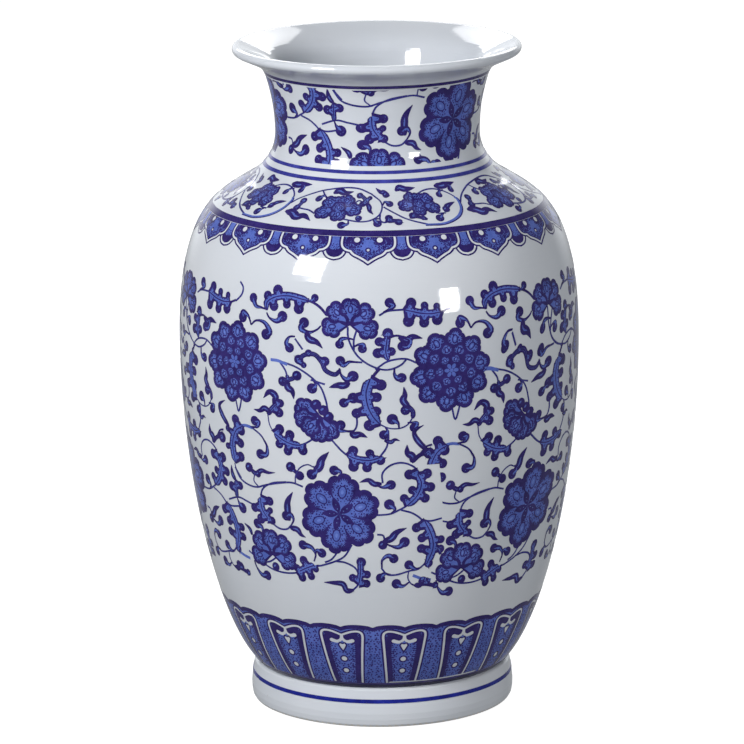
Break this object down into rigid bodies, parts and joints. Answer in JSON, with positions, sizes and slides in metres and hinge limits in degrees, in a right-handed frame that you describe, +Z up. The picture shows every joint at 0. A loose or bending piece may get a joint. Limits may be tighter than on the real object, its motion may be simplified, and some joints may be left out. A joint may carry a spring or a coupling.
{
  "type": "baluster vase",
  "caption": "Tall blue and white porcelain baluster vase with a flared mouth, scroll and petal bands and a raised foot ring.",
  "frame": {"origin": "centre of the foot's underside, on the surface that the vase stands on", "axes": "+Z up along the axis of revolution, -Y towards the front of the decoration, +X to its right"},
  "size_m": [0.198, 0.198, 0.33],
  "materials": {
    "glazed_porcelain": "high-gloss clear glaze over cool white porcelain",
    "foot_porcelain": "high-gloss clear glaze with an unglazed foot edge",
    "joint_slip": "fired porcelain slip, matte where it is bare",
    "cobalt_transfer": "cobalt blue transfer print under clear gloss",
    "cobalt_line": "brushed cobalt blue line under clear gloss"
  },
  "bodies": {
    "root": {"foot_ring": "foot_porcelain", "base_plate": "glazed_porcelain", "lower_body": "glazed_porcelain", "upper_body": "glazed_porcelain", "neck": "glazed_porcelain", "mouth_rim": "glazed_porcelain", "base_joint_slip": "joint_slip", "foot_joint_slip": "joint_slip", "belly_joint_slip": "joint_slip", "neck_joint_slip": "joint_slip", "rim_joint_slip": "joint_slip", "neck_scroll_transfer": "cobalt_transfer", "shoulder_scroll_transfer": "cobalt_transfer", "collar_transfer": "cobalt_transfer", "body_scroll_sheet_1": "cobalt_transfer", "body_scroll_sheet_2": "cobalt_transfer", "body_scroll_sheet_3": "cobalt_transfer", "body_scroll_sheet_4": "cobalt_transfer", "body_scroll_sheet_5": "cobalt_transfer", "body_scroll_end_sheet": "cobalt_transfer", "petal_transfer": "cobalt_transfer", "neck_top_line": "cobalt_line", "neck_upper_line": "cobalt_line", "neck_lower_line": "cobalt_line", "shoulder_line": "cobalt_line", "heel_line": "cobalt_line", "foot_line": "cobalt_line"}
  },
  "joints": []
}
